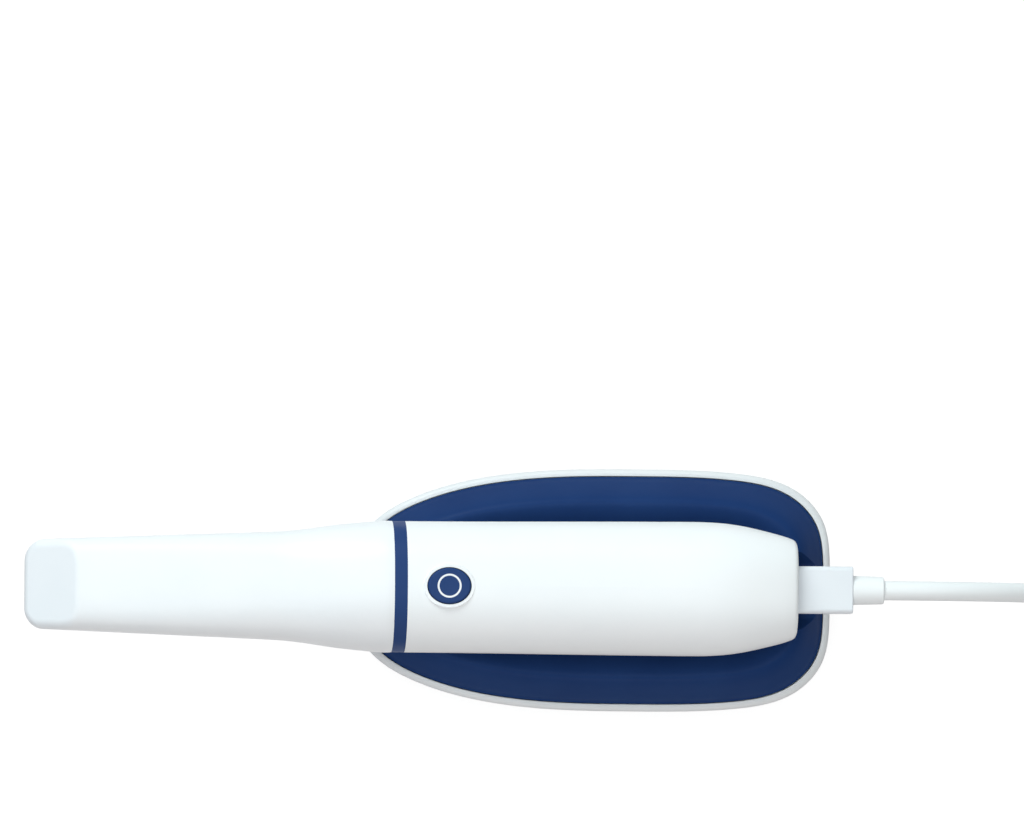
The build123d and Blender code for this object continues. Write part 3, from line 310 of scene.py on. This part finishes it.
def clear_glass(name, first, second):
    material, shader = new_material(name)
    tree = material.node_tree
    vary_colour(tree, shader, (first, second), scale=80.0)
    vary_roughness(tree, shader, low=0.02, high=0.06, scale=300.0)
    shader.inputs["Transmission Weight"].default_value = 1.0
    shader.inputs["IOR"].default_value = GLASS_IOR
    return material


def woven(name, first, second):
    """A strap's weave: uneven ribs across it."""
    material, shader = new_material(name)
    tree = material.node_tree
    vary_colour(tree, shader, (first, second), scale=900.0)
    vary_roughness(tree, shader, low=0.75, high=0.9, scale=900.0)
    place = tree.nodes.new("ShaderNodeTexCoord")
    ribs = tree.nodes.new("ShaderNodeTexWave")
    ribs.inputs["Scale"].default_value = 350.0
    ribs.inputs["Distortion"].default_value = 1.5
    tree.links.new(place.outputs["Object"], ribs.inputs["Vector"])
    add_relief(tree, shader, ribs.outputs["Fac"], height=0.0002)
    return material


def make_materials():
    materials = {name: moulded(name, *values) for name, values in PLASTICS.items()}
    materials.update({name: metal(name, *values) for name, values in METALS.items()})
    materials["tie_strap"] = woven("tie_strap", (0.020, 0.020, 0.022), (0.035, 0.035, 0.037))
    materials["optical_glass"] = clear_glass("optical_glass", (0.90, 0.95, 0.97), (0.94, 0.97, 0.98))
    return materials


def dress_nodes(materials):
    for entry in frame["record"]["subparts"]:
        mesh = frame["nodes"][entry["node"]].data
        mesh.materials.clear()
        mesh.materials.append(materials[entry["material_slot"]])


def add_math(tree, operation, first):
    node = tree.nodes.new("ShaderNodeMath")
    node.operation = operation
    tree.links.new(first, node.inputs[0])
    return node.inputs[1], node.outputs["Value"]


def floor_material():
    material, shader = new_material("floor_white")
    tree = material.node_tree
    vary_colour(tree, shader, FLOOR_GREYS, scale=3.0)
    shader.inputs["Roughness"].default_value = FLOOR_ROUGHNESS
    shader.inputs["Specular IOR Level"].default_value = 0.0
    shader.inputs["Emission Color"].default_value = WHITE
    light_path = tree.nodes.new("ShaderNodeLightPath")
    seen = light_path.outputs["Is Camera Ray"]
    for kind in ("Is Glossy Ray", "Is Transmission Ray"):
        other, seen = add_math(tree, "MAXIMUM", seen)
        tree.links.new(light_path.outputs[kind], other)
    glow, strength = add_math(tree, "MULTIPLY", seen)
    glow.default_value = FLOOR_GLOW
    tree.links.new(strength, shader.inputs["Emission Strength"])
    return material


def add_floor():
    data = bpy.data.meshes.new("floor")
    corners = [(x * FLOOR_REACH, y * FLOOR_REACH, 0.0) for x, y in ((-1, -1), (1, -1), (1, 1), (-1, 1))]
    data.from_pydata(corners, [], [(0, 1, 2, 3)])
    data.materials.append(floor_material())
    floor = add_object("floor", data)


def add_world():
    world = bpy.data.worlds.new("studio")
    world.use_nodes = True
    background = world.node_tree.nodes["Background"]
    background.inputs["Color"].default_value = WHITE
    background.inputs["Strength"].default_value = WORLD_STRENGTH
    scene.world = world


def add_lamp(name, location, target, diameter, power, colour):
    data = bpy.data.lights.new(name, "AREA")
    data.shape = "DISK"
    data.size = diameter
    data.energy = power
    data.color = colour
    lamp = add_object(name, data)
    lamp.location = location
    lamp.rotation_euler = (Vector(target) - Vector(location)).to_track_quat("-Z", "Y").to_euler()


add_camera()
cable = add_cable()
materials = make_materials()
dress_nodes(materials)
cable.data.materials.append(materials["cable_jacket"])
add_floor()
add_world()
for lamp in LAMPS:
    add_lamp(*lamp)
bpy.context.view_layer.update()
